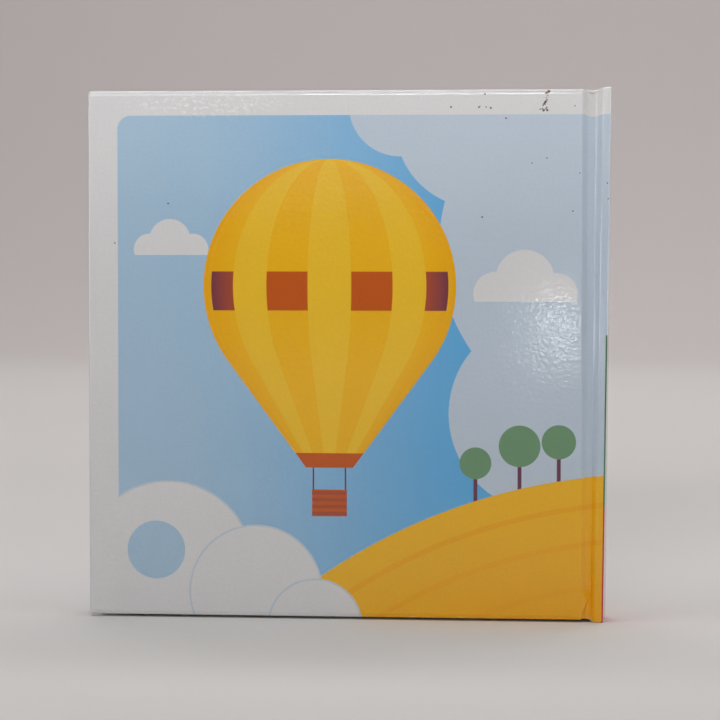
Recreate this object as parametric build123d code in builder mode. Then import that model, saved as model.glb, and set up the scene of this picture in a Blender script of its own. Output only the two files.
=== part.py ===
"""Square hardcover children's book, standing on its tail with its back cover towards -Y.

The spine is on +X and the fore edge on -X. The origin is under the middle of the book, on the surface
that it stands on. The levels below are distances from the middle plane of the text block, outwards.
"""
import os

from build123d import *

# Text block
page_height = 210.0
page_width = 207.0
section_count = 8
section_thickness = 1.7
fold_bulge = 0.5

# Sheets
board_thickness = 2.3
cover_paper = 0.25
endpaper = 0.15
lining_thickness = 0.4
lining_inset = 15.0

# Case
square = 3.0
joint_width = 8.2
turn_in = 16.0
spine_proud = 1.0
hollow_depth = 0.75
bevel_run = 1.7
bevel_depth = 0.55
bevel_radius = 1.5
board_edge_radius = 0.5
board_corner_radius = 0.9
spine_edge_radius = 0.35

# Groove between a cover board and the spine
board_wall_run = 2.0
spine_wall_run = 1.8
groove_radius = 1.3
groove_end_recess = 0.6
strip_overrun_share = 0.2

# Folds and clearances
mitre_slot = 0.4
mitre_closed_length = 2.0
flyleaf_fold_radius = 0.4
glue_film = 0.05
cover_clearance = 0.1
tab_clearance = 0.1
hinge_gap = 0.2

# Levels, from the middle of the text block outwards
block_half = section_count * section_thickness / 2
flyleaf_out = block_half + endpaper
rim_in = flyleaf_out + cover_clearance
turn_in_in = rim_in + endpaper
board_in = turn_in_in + cover_paper
board_out = board_in + board_thickness
case_out = board_out + cover_paper

# Places along X, from the fore edge to the spine
lining_gap = glue_film + lining_thickness + hollow_depth
spine_thickness = board_thickness + 2 * cover_paper
case_width = square + page_width + lining_gap + spine_thickness
spine_out_x = case_width / 2
spine_in_x = spine_out_x - spine_thickness
case_fore_x = -spine_out_x
fold_x = spine_in_x - lining_gap
fold_root_x = fold_x - fold_bulge
page_fore_x = fold_x - page_width
board_hinge_x = spine_in_x - joint_width
wrap_end_x = board_hinge_x - board_edge_radius
tab_out_x = spine_in_x - tab_clearance
strip_end_x = tab_out_x - endpaper - hinge_gap

# Places along Z, from the surface that the book stands on
case_height = page_height + 2 * square
case_bottom = spine_proud
case_top = case_bottom + case_height
page_bottom = case_bottom + square
spine_height = case_height + 2 * spine_proud

hinge_side = Plane.YZ.offset(strip_end_x)
wrap_edge_radius = board_edge_radius + cover_paper
wrap_corner_radius = board_corner_radius + cover_paper


def slab(x_from, x_to, z_from, z_to, mode=Mode.ADD):
    """Rectangle in a sketch whose plane faces -Y, given by its sides."""
    with Locations(((x_from + x_to) / 2, (z_from + z_to) / 2)):
        Rectangle(x_to - x_from, z_to - z_from, mode=mode)


def cover_slab(level_in, level_out, x_to, margin, edge_radius, hinge_round):
    """Cover with rounded fore corners and fore edge, and a shallow bevel along its head and tail.

    The margin is how far its edges lie inside those of the case.
    """
    x_from = case_fore_x + margin
    z_from = case_bottom + margin
    z_to = case_top - margin
    with BuildPart() as cover:
        with BuildSketch(Plane.XZ.offset(level_in)) as outline:
            slab(x_from, x_to, z_from, z_to)
            fillet(outline.vertices().group_by(Axis.X)[0], wrap_corner_radius - margin)
        extrude(amount=level_out - level_in)
        with BuildSketch(Plane.YZ.offset(x_from)):
            with BuildLine():
                FilletPolyline(
                    (-level_in, z_from),
                    (bevel_depth - level_out, z_from),
                    (-level_out, z_from + bevel_run),
                    (-level_out, z_to - bevel_run),
                    (bevel_depth - level_out, z_to),
                    (-level_in, z_to),
                    radius=[edge_radius, bevel_radius, bevel_radius, edge_radius],
                )
                Line((-level_in, z_to), (-level_in, z_from))
            make_face()
        extrude(amount=x_to - x_from, mode=Mode.INTERSECT)
        with BuildSketch(Plane.XY.offset(z_from)) as section:
            with Locations(((x_from + x_to) / 2, -(level_in + level_out) / 2)):
                Rectangle(x_to - x_from, level_out - level_in)
            outer_corners = section.vertices().group_by(Axis.Y)[0].sort_by(Axis.X)
            fillet(outer_corners if hinge_round else outer_corners[:1], edge_radius)
        extrude(amount=z_to - z_from, mode=Mode.INTERSECT)
    return cover.part


def groove_path():
    """Inner face of the covering paper, from the board's face through the groove to the spine."""
    foot = Vector(strip_end_x - spine_wall_run, -board_in)
    rise = Vector(strip_end_x, -board_out + cover_paper) - foot
    return [
        (wrap_end_x, -board_out),
        (board_hinge_x, -board_out),
        (board_hinge_x + board_wall_run, -board_in),
        (foot.X, foot.Y),
        tuple(foot + rise * (1 + strip_overrun_share))[:2],
    ]


# Leaves, folded in sections with a rounded fold each
with BuildPart() as text_block:
    with BuildSketch(Plane.XY.offset(page_bottom)):
        with BuildLine():
            Polyline(
                (fold_root_x, -block_half),
                (page_fore_x, -block_half),
                (page_fore_x, block_half),
                (fold_root_x, block_half),
            )
            for section in range(section_count):
                side = section * section_thickness - block_half
                ThreePointArc(
                    (fold_root_x, side),
                    (fold_x, side + section_thickness / 2),
                    (fold_root_x, side + section_thickness),
                )
        make_face()
    extrude(amount=page_height)

# Strip over the folds of the sections
with BuildPart() as spine_lining:
    with BuildSketch(Plane.XY.offset(page_bottom + lining_inset)):
        with Locations((fold_x + glue_film + lining_thickness / 2, 0)):
            Rectangle(lining_thickness, 2 * block_half)
    extrude(amount=page_height - 2 * lining_inset)

# Free endpaper: it lies on the leaves and turns out along the spine to the hinge line
with BuildPart() as back_flyleaf:
    with BuildSketch(Plane.XY.offset(page_bottom)):
        with BuildLine():
            FilletPolyline(
                (page_fore_x, -block_half),
                (tab_out_x, -block_half),
                (tab_out_x, -board_out),
                radius=flyleaf_fold_radius,
            )
            offset(amount=endpaper, side=Side.RIGHT)
        make_face()
    extrude(amount=page_height)

# Greyboard of the back cover
with BuildPart() as back_board:
    add(cover_slab(board_in, board_out, board_hinge_x, cover_paper, board_edge_radius, hinge_round=True))

# Covering paper of the back cover: round the board with mitred turn-ins, and down into the groove
with BuildPart() as back_cover_paper:
    add(cover_slab(turn_in_in, case_out, wrap_end_x, 0, wrap_edge_radius, hinge_round=False))
    add(back_board.part, mode=Mode.SUBTRACT)
    with BuildSketch(Plane.XZ.offset(turn_in_in)):
        slab(case_fore_x + turn_in, board_hinge_x, case_bottom + turn_in, case_top - turn_in)
        slot_end = turn_in + mitre_slot
        slot_middle = (mitre_closed_length + slot_end) / 2
        slot_length = (slot_end - mitre_closed_length) * 2**0.5
        for slot_z, slot_angle in ((case_bottom + slot_middle, 45), (case_top - slot_middle, -45)):
            with Locations((case_fore_x + slot_middle, slot_z)):
                Rectangle(slot_length, mitre_slot, rotation=slot_angle)
    extrude(amount=cover_paper, mode=Mode.SUBTRACT)
    with BuildSketch(Plane.XY.offset(case_bottom + groove_end_recess)):
        with BuildLine():
            FilletPolyline(*groove_path(), radius=[board_edge_radius, groove_radius, groove_radius])
            offset(amount=cover_paper, side=Side.RIGHT)
        make_face()
    extrude(amount=case_height - 2 * groove_end_recess)
    split(bisect_by=hinge_side, keep=Keep.BOTTOM)

# Endpaper glued inside the back cover: it steps over the turn-ins and lines the groove
with BuildPart() as back_pastedown:
    with BuildSketch(Plane.XZ.offset(rim_in)):
        slab(page_fore_x, board_hinge_x, page_bottom, page_bottom + page_height)
    extrude(amount=board_in - rim_in)
    window_x = case_fore_x + turn_in
    window_bottom = case_bottom + turn_in
    window_top = case_top - turn_in
    with BuildSketch(Plane.XZ.offset(turn_in_in)):
        slab(case_fore_x, board_hinge_x - endpaper, case_bottom, case_top)
        slab(window_x, board_hinge_x, window_bottom, window_top, mode=Mode.SUBTRACT)
    extrude(amount=cover_paper, mode=Mode.SUBTRACT)
    with BuildSketch(Plane.XZ.offset(rim_in)):
        slab(window_x + endpaper, board_hinge_x, window_bottom + endpaper, window_top - endpaper)
    extrude(amount=cover_paper, mode=Mode.SUBTRACT)
    with BuildSketch(Plane.XY.offset(page_bottom)):
        with BuildLine():
            FilletPolyline((wrap_end_x, -board_in), *groove_path()[-2:], radius=groove_radius)
            offset(amount=endpaper, side=Side.LEFT)
        make_face()
    extrude(amount=page_height)
    split(bisect_by=hinge_side, keep=Keep.BOTTOM)

# Greyboard of the spine
with BuildPart() as spine_board:
    with BuildSketch(Plane.XY.offset(cover_paper)):
        with Locations((spine_out_x - spine_thickness / 2, 0)):
            Rectangle(board_thickness, 2 * board_out)
    extrude(amount=spine_height - 2 * cover_paper)
    fillet(spine_board.faces().sort_by(Axis.X)[-1].edges(), spine_edge_radius)

# Covering paper of the spine, with turn-ins at head and tail
with BuildPart() as spine_cover_paper:
    with BuildSketch(Plane.XY):
        with Locations((spine_out_x - spine_thickness / 2, 0)):
            Rectangle(spine_thickness, 2 * case_out)
    extrude(amount=spine_height)
    outer_face = spine_cover_paper.faces().sort_by(Axis.X)[-1]
    fillet(outer_face.edges(), spine_edge_radius + cover_paper)
    add(spine_board.part, mode=Mode.SUBTRACT)
    with BuildSketch(Plane.YZ.offset(spine_in_x)):
        with Locations((0, spine_height / 2)):
            Rectangle(2 * board_out, spine_height - 2 * turn_in)
    extrude(amount=cover_paper, mode=Mode.SUBTRACT)

# Front cover and front endpaper, the back ones mirrored
with BuildPart() as front_flyleaf:
    mirror(back_flyleaf.part, about=Plane.XZ)

with BuildPart() as front_board:
    mirror(back_board.part, about=Plane.XZ)

with BuildPart() as front_cover_paper:
    mirror(back_cover_paper.part, about=Plane.XZ)

with BuildPart() as front_pastedown:
    mirror(back_pastedown.part, about=Plane.XZ)

pieces = {
    "text_block": text_block,
    "spine_lining": spine_lining,
    "back_flyleaf": back_flyleaf,
    "front_flyleaf": front_flyleaf,
    "back_board": back_board,
    "front_board": front_board,
    "spine_board": spine_board,
    "back_cover_paper": back_cover_paper,
    "front_cover_paper": front_cover_paper,
    "spine_cover_paper": spine_cover_paper,
    "back_pastedown": back_pastedown,
    "front_pastedown": front_pastedown,
}

os.makedirs("parts", exist_ok=True)
for name, piece in pieces.items():
    piece.part.label = name
    export_step(piece.part, f"parts/{name}.step")
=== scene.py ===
import math
import random

import bpy
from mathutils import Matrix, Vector, noise


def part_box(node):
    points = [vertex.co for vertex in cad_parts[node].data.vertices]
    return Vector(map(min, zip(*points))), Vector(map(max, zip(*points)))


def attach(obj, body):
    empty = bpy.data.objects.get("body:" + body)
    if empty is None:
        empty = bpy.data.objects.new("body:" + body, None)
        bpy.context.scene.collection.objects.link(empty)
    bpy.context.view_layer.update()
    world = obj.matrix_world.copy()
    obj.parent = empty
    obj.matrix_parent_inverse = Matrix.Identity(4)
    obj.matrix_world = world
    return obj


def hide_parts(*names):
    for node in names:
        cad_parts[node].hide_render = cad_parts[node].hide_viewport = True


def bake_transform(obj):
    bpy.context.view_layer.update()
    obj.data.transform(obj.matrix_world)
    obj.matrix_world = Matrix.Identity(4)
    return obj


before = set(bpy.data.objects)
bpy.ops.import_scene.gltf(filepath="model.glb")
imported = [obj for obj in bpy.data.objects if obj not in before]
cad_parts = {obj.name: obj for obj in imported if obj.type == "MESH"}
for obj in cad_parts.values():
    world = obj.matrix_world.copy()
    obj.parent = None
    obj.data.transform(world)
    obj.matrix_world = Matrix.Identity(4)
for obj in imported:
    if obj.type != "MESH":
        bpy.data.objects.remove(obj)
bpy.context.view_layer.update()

# A square hardcover children's book that stands on its tail, back cover towards -Y, spine on +X.
# Lengths are in metres. Sheet places are on the case paper laid flat: u from the middle of the
# spine, with the back cover on the minus side, and v up from the tail edge of the covers.

BACK_LOW, BACK_HIGH = (Vector(corner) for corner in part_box("back_cover_paper"))
BOARD_HIGH = Vector(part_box("back_board")[1])
SPINE_LOW, SPINE_HIGH = (Vector(corner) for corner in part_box("spine_cover_paper"))
BLOCK_LOW, BLOCK_HIGH = (Vector(corner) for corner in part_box("text_block"))

# Levels of the case, outwards from the middle of the leaves
CASE_OUT = -BACK_LOW.y
TURN_IN_LEVEL = -BACK_HIGH.y
PAPER = 0.00025
STRIP_THICKNESS = 2 * PAPER
GROOVE_LEVEL = 0.0077
GROOVE_FLOOR_RISE = 0.0008

# Places along X
FORE_X = BACK_LOW.x
SPINE_X = SPINE_HIGH.x
FOLD_LOOSE = 0.00012
BOARD_FOLD_X = BOARD_HIGH.x + FOLD_LOOSE
BOARD_WALL_RUN = 0.0020
SPINE_WALL_START_X = 0.1012
SHOULDER_X = 0.10386
PAPER_LAP = 0.0006
CASE_PAPER_END_X = SPINE_LOW.x + PAPER_LAP

COVER_HEIGHT = BACK_HIGH.z - BACK_LOW.z

# Folds and rounds
EDGE_ROUND = 0.00075
CORNER_ROUND = 0.00115
SPINE_ROUND = 0.0006
BEVEL_RUN = 0.0017
BEVEL_DEPTH = 0.00055
INNER_ROUND = 0.0003
STRIP_ROUND = 0.00024
GROOVE_ROUNDS = (0.0008, 0.0011, 0.0009, 0.0011)
SHOULDER_ROUND = 0.0006
TURN_IN = 0.016
STRIP_TURN_IN = 0.003
STRIP_LEAD = 0.0010
STRIP_FADE = 0.0015
STRIP_SLACK = 0.0009
WALL_LEAD = 0.001
WARP = 0.00006
WARP_LENGTH = 0.055
WARP_FADE = 0.010
WARP_PLACE_BACK = 1.0
WARP_PLACE_FRONT = 3.0
TOUCHING = 0.00001

# How far the case paper's end lies inside the cover's, by distance past the board's hinge edge
HEAD_DIP = (
    (-0.0006, 0.0),
    (0.0034, 0.0003),
    (0.0046, 0.0003),
    (0.0094, -0.0009),
)
TAIL_DIP = (
    (-0.0004, 0.0),
    (0.0007, 0.00055),
    (0.0016, 0.0005),
    (0.0036, 0.0),
    (0.0064, -0.0008),
    (0.0090, -0.0009),
)
DIP_REACH = 0.030

# How far the print is pulled into the groove near the head, by distance past the board's hinge edge
PRINT_DIP = (
    (0.0004, 0.0),
    (0.0040, 0.0014),
    (0.0046, 0.0014),
    (0.0085, 0.0),
)

# Pinched paper in the back cover's groove: a flat facet at the tail, from a crease whose two ends are
# given as x and height, and a creased lip at the head, by distance below the head, with its share by
# distance past the board's hinge edge
TAIL_CREASE = ((0.0967, 0.0018), (0.1002, 0.0098))
TAIL_FACET_SLOPE = 0.42
TAIL_CREASE_SOFT = 0.0005
TAIL_FACET_END_SHARE = 1.25
TAIL_FACET_FADE_SHARE = 0.5
HEAD_LIP = (
    (0.0, 0.0),
    (0.0006, 0.00045),
    (0.0011, -0.0001),
    (0.0052, 0.0),
)
HEAD_LIP_SHARE = (
    (0.0008, 0.0),
    (0.0028, 1.0),
    (0.0048, 1.0),
    (0.0078, 0.0),
)

# The spine leans: how far it lies towards +X at tail and head, and how far it is rolled at the tail
SPINE_LEAN_TAIL = -0.0016
SPINE_LEAN_HEAD = 0.0007
SPINE_ROLL_TAIL = 0.0003
LEAN_START_X = 0.0990
LEAN_FULL_X = 0.1028

# Leaves
SECTIONS = 8
LEAVES_IN_SECTION = 8
LEAF_GAP_SHARE = 0.08
LEAF_STRAY = 0.00012
LEAF_SEED = 7
FOLD_BULGE = 0.0005

# Fineness of the meshes: distances in from an edge, then the steps further in
EDGE_PLACES = (
    0.0,
    0.00003,
    0.0001,
    0.0002,
    0.00035,
    0.00055,
    EDGE_ROUND,
    CORNER_ROUND,
    0.0015,
    BEVEL_RUN,
)
FINE_STEP = 0.0004
COARSE_STEP = 0.0028
GROOVE_STEP = 0.00035
GROOVE_ROUND_STEPS = 6
GROOVE_LEAD = 0.003
SPINE_ROUND_STEPS = 8
SPINE_FACE_STEPS = 14
SECTION_FOLD_STEPS = 12
SHEET_SHARP = math.radians(50)
PIECE_SHARP = math.radians(35)

# Baking map: room round the picture, its share of the map, and a small patch for the unprinted side
BAKE_ROOM = 1.02
BAKE_EDGE = 0.005
BAKE_PRINTED_SHARE = 0.94
BAKE_PLAIN_SHARE = 0.03
BAKE_PLAIN_U = 0.96

# The print, on the sheet
PANEL_EDGE_U = 0.2117
PANEL_TOP_V = 0.2059
PANEL_ROUND = 0.0055
SPINE_HALF = -SPINE_LOW.y
SPINE_RED_TOP_V = 0.0455
SPINE_GREEN_TOP_V = 0.1163
INK_BLEED = 0.00012

# Inks, as linear red, green and blue
PAPER_WHITE = (0.79, 0.78, 0.785)
SKY_PALE = (0.43, 0.61, 0.78)
SKY_DEEP = (0.115, 0.45, 0.82)
BANK_BLUE = (0.57, 0.66, 0.765)
CLOUD_SHADE = (0.62, 0.69, 0.755)
GOLD_LIGHT = (0.97, 0.59, 0.034)
GOLD = (0.97, 0.52, 0.014)
GOLD_DEEP = (0.95, 0.44, 0.006)
ORANGE = (0.62, 0.115, 0.014)
PLUM = (0.16, 0.045, 0.085)
LEAF_GREEN = (0.17, 0.33, 0.18)
SPINE_RED = (0.50, 0.014, 0.030)
SPINE_GREEN = (0.055, 0.17, 0.075)
RUST = (0.16, 0.062, 0.030)
MARK_DARK = (0.030, 0.020, 0.024)
MARK_BLUE = (0.10, 0.14, 0.36)
# Colour of the dirt in the groove's head, also used as painted shade along the crease under the head lip
SOIL_AND_SHADE = (0.52, 0.42, 0.34)
# Whitening of the scuffs at the head, which also paints gloss glints there as a painted highlight
SCUFF_AND_GLINT_WHITE = (0.97, 0.97, 0.98)
LEAF_WHITE = (0.80, 0.785, 0.74)

# Marks of use on the back cover: u, v, radius
RUST_MARKS = (
    (-0.0742, 0.2090, 0.00045),
    (-0.0604, 0.2142, 0.0004),
    (-0.0629, 0.2088, 0.0004),
    (-0.0624, 0.2092, 0.00025),
    (-0.0580, 0.2085, 0.00045),
    (-0.0518, 0.2044, 0.0004),
    (-0.0345, 0.2151, 0.0007),
    (-0.0353, 0.2146, 0.0005),
    (-0.0349, 0.2135, 0.00025),
    (-0.0354, 0.2126, 0.0003),
    (-0.0352, 0.2118, 0.00035),
    (-0.0357, 0.2111, 0.0005),
    (-0.0366, 0.2076, 0.0006),
    (-0.0372, 0.2083, 0.0003),
)
DARK_MARKS = (
    (-0.0357, 0.2144, 0.0004),
    (-0.0360, 0.2107, 0.0005),
    (-0.0363, 0.2101, 0.0005),
    (-0.0368, 0.2096, 0.0004),
    (-0.0355, 0.2086, 0.0004),
    (-0.0351, 0.2076, 0.0005),
    (-0.1907, 0.1699, 0.00035),
    (-0.2129, 0.1536, 0.00035),
    (-0.0412, 0.1862, 0.0003),
    (-0.0352, 0.1882, 0.0003),
    (-0.0246, 0.1667, 0.00035),
    (-0.0104, 0.1716, 0.0003),
    (-0.0615, 0.1643, 0.00035),
    (-0.0218, 0.1821, 0.0003),
    (-0.0109, 0.1780, 0.0003),
)
BLUE_MARKS = (
    (-0.0599, 0.2089, 0.00035),
    (-0.0379, 0.2079, 0.0004),
    (-0.0358, 0.2081, 0.0003),
    (-0.0240, 0.2093, 0.0003),
)
# Soiled places on the back cover, and a thin line of painted shade along the crease under the groove's head
# lip: u, v, half width, half height, strength
SOIL_AND_SHADE_PATCHES = (
    (-0.0165, 0.2120, 0.0050, 0.0090, 0.12),
    # Painted shade: a dark line along the crease under the head lip of the groove
    (-0.0174, 0.2158, 0.0026, 0.0004, 0.80),
)
# Scuffed place at its head, whitened also as painted gloss glints: u, v, half width, half height
SCUFF_AND_GLINT_PATCH = (-0.1750, 0.2105, 0.0420, 0.0060)

# Edges of the marks, and the grain that breaks them up
SPOT_EDGE_SHARES = (1.15, 0.7)
SMUDGE_EDGE_SHARES = (1.0, 0.1)
RAGGED_GRAIN = 0.0005
RAGGED_REACH = 0.0008
SOIL_AND_SHADE_GRAIN = 0.003
SCUFF_AND_GLINT_GRAIN = 0.0024
SCUFF_AND_GLINT_SLANT = 0.5
SCUFF_AND_GLINT_STRETCH = 1.9
SOIL_AND_SHADE_CUT = (0.25, 0.60)
SCUFF_AND_GLINT_CUT = (0.50, 0.61)
RUB_CUT = (0.52, 0.72)
RUB_GRAIN = 0.004
RUB_NONE = 0.0010
RUB_FULL = 0.0001

# Wear of the print, with painted shade in a crease and painted gloss glints among the scuffs: its kind, its
# colour and how far it hides the print
WEAR_INKS = (
    ("Rub", PAPER_WHITE, 0.7),
    ("Soil_and_shade", SOIL_AND_SHADE, 1.0),
    ("Scuff_and_glint", SCUFF_AND_GLINT_WHITE, 0.85),
    ("Rust", RUST, 0.9),
    ("Blue", MARK_BLUE, 0.8),
    ("Dark", MARK_DARK, 0.9),
)

# Gloss film: roughness, and relief as grain and height
FILM_IOR = 1.54
FILM_ROUGH = 0.05
STREAK_ROUGH = 0.06
RUB_ROUGH = 0.3
SCUFF_ROUGH = 0.15
STREAK_GRAIN = 0.030
STREAK_STRETCH = 7.0
STREAK_CUT = (0.5, 0.75)
PEEL_FINE_GRAIN = 0.0016
PEEL_FINE = 0.000032
PEEL_BROAD_GRAIN = 0.0055
PEEL_BROAD = 0.000020
SCRATCH_GRAIN = 0.006
SCRATCH_STRETCH = 12.0
SCRATCH_DEPTH = 0.000002
SCRATCH_CUT = (0.7, 0.74)

# Unevenness of the ink: grain and share, broad and fine
INK_BROAD_GRAIN = 0.030
INK_BROAD_SHARE = 0.05
INK_FINE_GRAIN = 0.0011
INK_FINE_SHARE = 0.10
INK_BASE_SHARE = 0.925

# Uncoated paper and board, and the cut leaves
FIBRE_BROAD_SHARE = 0.06
FIBRE_FINE_SHARE = 0.6
FIBRE_ROUGH_SHARE = 0.2
FLECK_SHARE = 0.5
FLECK_CUT = (0.68, 0.74)
LEAF_FIBRES = 3000.0
LEAF_RELIEF = 0.00001
LEAF_OWN_SHARE = 0.10
LEAF_FIBRE_SHARE = 0.08
LEAF_BASE_SHARE = 0.93
LEAF_ROUGH = 0.7


# Node helpers: a Field is a value that varies over a surface

class Field:
    def __init__(self, tree, socket):
        self.tree = tree
        self.socket = socket

    def maths(self, operation, *others):
        node = self.tree.nodes.new("ShaderNodeMath")
        node.operation = operation
        for socket, value in zip(node.inputs, (self, *others)):
            plug(self.tree, value, socket)
        return Field(self.tree, node.outputs[0])

    def __add__(self, other):
        return self.maths("ADD", other)

    def __sub__(self, other):
        return self.maths("SUBTRACT", other)

    def __mul__(self, other):
        return self.maths("MULTIPLY", other)

    def __truediv__(self, other):
        return self.maths("DIVIDE", other)

    def inverse(self):
        """One less the value."""
        return (self * -1.0) + 1.0

    def either(self, other):
        return self.maths("MAXIMUM", other)

    def both(self, other):
        return self.maths("MINIMUM", other)

    def size(self):
        return self.maths("ABSOLUTE")

    def rise(self, low, high):
        """Smooth step from 0 at low to 1 at high."""
        node = self.tree.nodes.new("ShaderNodeMapRange")
        node.interpolation_type = "SMOOTHSTEP"
        plug(self.tree, self, node.inputs["Value"])
        plug(self.tree, low, node.inputs["From Min"])
        plug(self.tree, high, node.inputs["From Max"])
        return Field(self.tree, node.outputs["Result"])

    def above(self, edge, bleed=INK_BLEED):
        return self.rise(edge - bleed, edge + bleed)

    def below(self, edge, bleed=INK_BLEED):
        return self.above(edge, bleed).inverse()


def plug(tree, value, socket):
    """Link a field to a socket, or set the socket to a number or colour."""
    if isinstance(value, Field):
        tree.links.new(value.socket, socket)
    elif isinstance(value, tuple) and len(value) == 3 and len(socket.default_value) == 4:
        socket.default_value = (*value, 1.0)
    else:
        socket.default_value = value


def mix(under, over, mask):
    """Colour over a colour where the mask is 1."""
    tree = mask.tree
    node = tree.nodes.new("ShaderNodeMix")
    node.data_type = "RGBA"
    plug(tree, mask, node.inputs[0])
    plug(tree, under, node.inputs[6])
    plug(tree, over, node.inputs[7])
    return Field(tree, node.outputs[2])


def shade(colour, amount):
    """Colour scaled by a value."""
    node = amount.tree.nodes.new("ShaderNodeVectorMath")
    node.operation = "SCALE"
    plug(amount.tree, colour, node.inputs[0])
    plug(amount.tree, amount, node.inputs["Scale"])
    return Field(amount.tree, node.outputs[0])


def parts_of(place):
    node = place.tree.nodes.new("ShaderNodeSeparateXYZ")
    plug(place.tree, place, node.inputs[0])
    return [Field(place.tree, output) for output in node.outputs]


def joined(x, y, z):
    node = x.tree.nodes.new("ShaderNodeCombineXYZ")
    for socket, value in zip(node.inputs, (x, y, z)):
        plug(x.tree, value, socket)
    return Field(x.tree, node.outputs[0])


def distance(place, point):
    node = place.tree.nodes.new("ShaderNodeVectorMath")
    node.operation = "DISTANCE"
    plug(place.tree, place, node.inputs[0])
    node.inputs[1].default_value = point
    return Field(place.tree, node.outputs["Value"])


def disc(place, u, v, radius):
    return distance(place, (u, v, 0.0)).below(radius)


def any_of(masks):
    """Mask that is as strong as the strongest of these."""
    first, *others = masks
    for other in others:
        first = first.either(other)
    return first


def grain(place, size, detail=2.0, rough=0.5):
    """Noise from 0 to 1 with features of about this size."""
    node = place.tree.nodes.new("ShaderNodeTexNoise")
    plug(place.tree, place, node.inputs["Vector"])
    plug(place.tree, size if isinstance(size, Field) else 1.0 / size, node.inputs["Scale"])
    node.inputs["Detail"].default_value = detail
    node.inputs["Roughness"].default_value = rough
    return Field(place.tree, node.outputs[0])


def new_group(name, takes, gives):
    """Shader node group with named sockets; returns it, its inputs as fields and its output node."""
    group = bpy.data.node_groups.new(name, "ShaderNodeTree")
    for label, kind, value in takes:
        socket = group.interface.new_socket(name=label, in_out="INPUT", socket_type=kind)
        if value is not None:
            socket.default_value = value
    for label, kind in gives:
        group.interface.new_socket(name=label, in_out="OUTPUT", socket_type=kind)
    entry = group.nodes.new("NodeGroupInput")
    ending = group.nodes.new("NodeGroupOutput")
    fields = {label: Field(group, entry.outputs[label]) for label, _, _ in takes}
    return group, fields, ending


def use_group(tree, group, **values):
    """Place a group in a tree; underscores in the keywords stand for spaces in the socket names."""
    node = tree.nodes.new("ShaderNodeGroup")
    node.node_tree = group
    for label, value in values.items():
        plug(tree, value, node.inputs[label.replace("_", " ")])
    return {output.name: Field(tree, output) for output in node.outputs}


def new_material(name):
    material = bpy.data.materials.new(name)
    material.use_nodes = True
    tree = material.node_tree
    tree.nodes.clear()
    surface = tree.nodes.new("ShaderNodeBsdfPrincipled")
    ending = tree.nodes.new("ShaderNodeOutputMaterial")
    tree.links.new(surface.outputs[0], ending.inputs["Surface"])
    return material, tree, surface


def sheet_place(tree):
    node = tree.nodes.new("ShaderNodeUVMap")
    node.uv_map = "sheet"
    return Field(tree, node.outputs["UV"])


def solid_place(tree):
    node = tree.nodes.new("ShaderNodeTexCoord")
    return Field(tree, node.outputs["Object"])


def emboss(tree, height, surface):
    """Relief in metres on a surface."""
    node = tree.nodes.new("ShaderNodeBump")
    node.inputs["Strength"].default_value = 1.0
    node.inputs["Distance"].default_value = 1.0
    plug(tree, height, node.inputs["Height"])
    tree.links.new(node.outputs["Normal"], surface.inputs["Normal"])


# Print of the case

PUFFS_WHITE = (
    (-0.1910, 0.020, 0.035),
    (-0.1545, 0.010, 0.027),
    (-0.1300, -0.004, 0.019),
)
PUFFS_BANK = (
    (-0.0050, 0.1520, 0.0740),
    (-0.0630, 0.2020, 0.0340),
    (-0.0950, 0.2100, 0.0210),
    (-0.0350, 0.0840, 0.0400),
    (0.0640, 0.2050, 0.0460),
    (0.0400, 0.0800, 0.0450),
)
SMALL_CLOUDS = (
    ((-0.1985, 0.1510, 0.0065), (-0.1900, 0.1550, 0.0085), (-0.1805, 0.1510, 0.0065)),
    ((-0.0560, 0.1330, 0.0090), (-0.0440, 0.1390, 0.0120), (-0.0310, 0.1330, 0.0085)),
    ((0.0900, 0.1300, 0.0120), (0.1060, 0.1390, 0.0160), (0.1230, 0.1310, 0.0120)),
    ((0.1580, 0.1660, 0.0085), (0.1690, 0.1720, 0.0115), (0.1810, 0.1660, 0.0085)),
)
CLOUD_FLAT_SHARE = 0.35
CLOUD_RIM = 0.0008
BALL = (-0.1960, 0.0270, 0.0120)
HILL = (0.010, -0.180, 0.240)
FURROWS = (0.012, 0.027, 0.045)
FURROW_WIDTH = 0.0011
FIELD_FADE = 0.070
SKY_FADE = (0.045, 0.205)
TREES = ((-0.0460, 0.0085), (-0.0640, 0.0065), (-0.0300, 0.0070))
TRUNK = 0.0090
TRUNK_HALF = 0.0008

BALLOON_U = -0.1240
BALLOON_V = 0.1360
BALLOON_ROUND = 0.0520
BALLOON_TAPER = math.radians(36.4)
BALLOON_MOUTH = -0.0745
BALLOON_GORES = 9
BALLOON_BAND = (-0.010, 0.006)
BALLOON_COLLAR = 0.006
BALLOON_JOIN = 0.0001
BALLOON_THINNEST = 0.001
GORE_SEAM = 0.04
GORE_SHADE = (0.75, 1.5)
BAND_SHADE = (0.5, 1.4)
BASKET_HALF = 0.0072
BASKET_TOP_V = 0.0525
BASKET_BOTTOM_V = 0.0415
BASKET_WEAVE = 0.0014
BASKET_WEAVE_SHARE = 0.35
BASKET_WEAVE_EDGE = 0.3
ROPE_HALF = 0.0003
ROPE_PLACE_SHARE = 0.92


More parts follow.
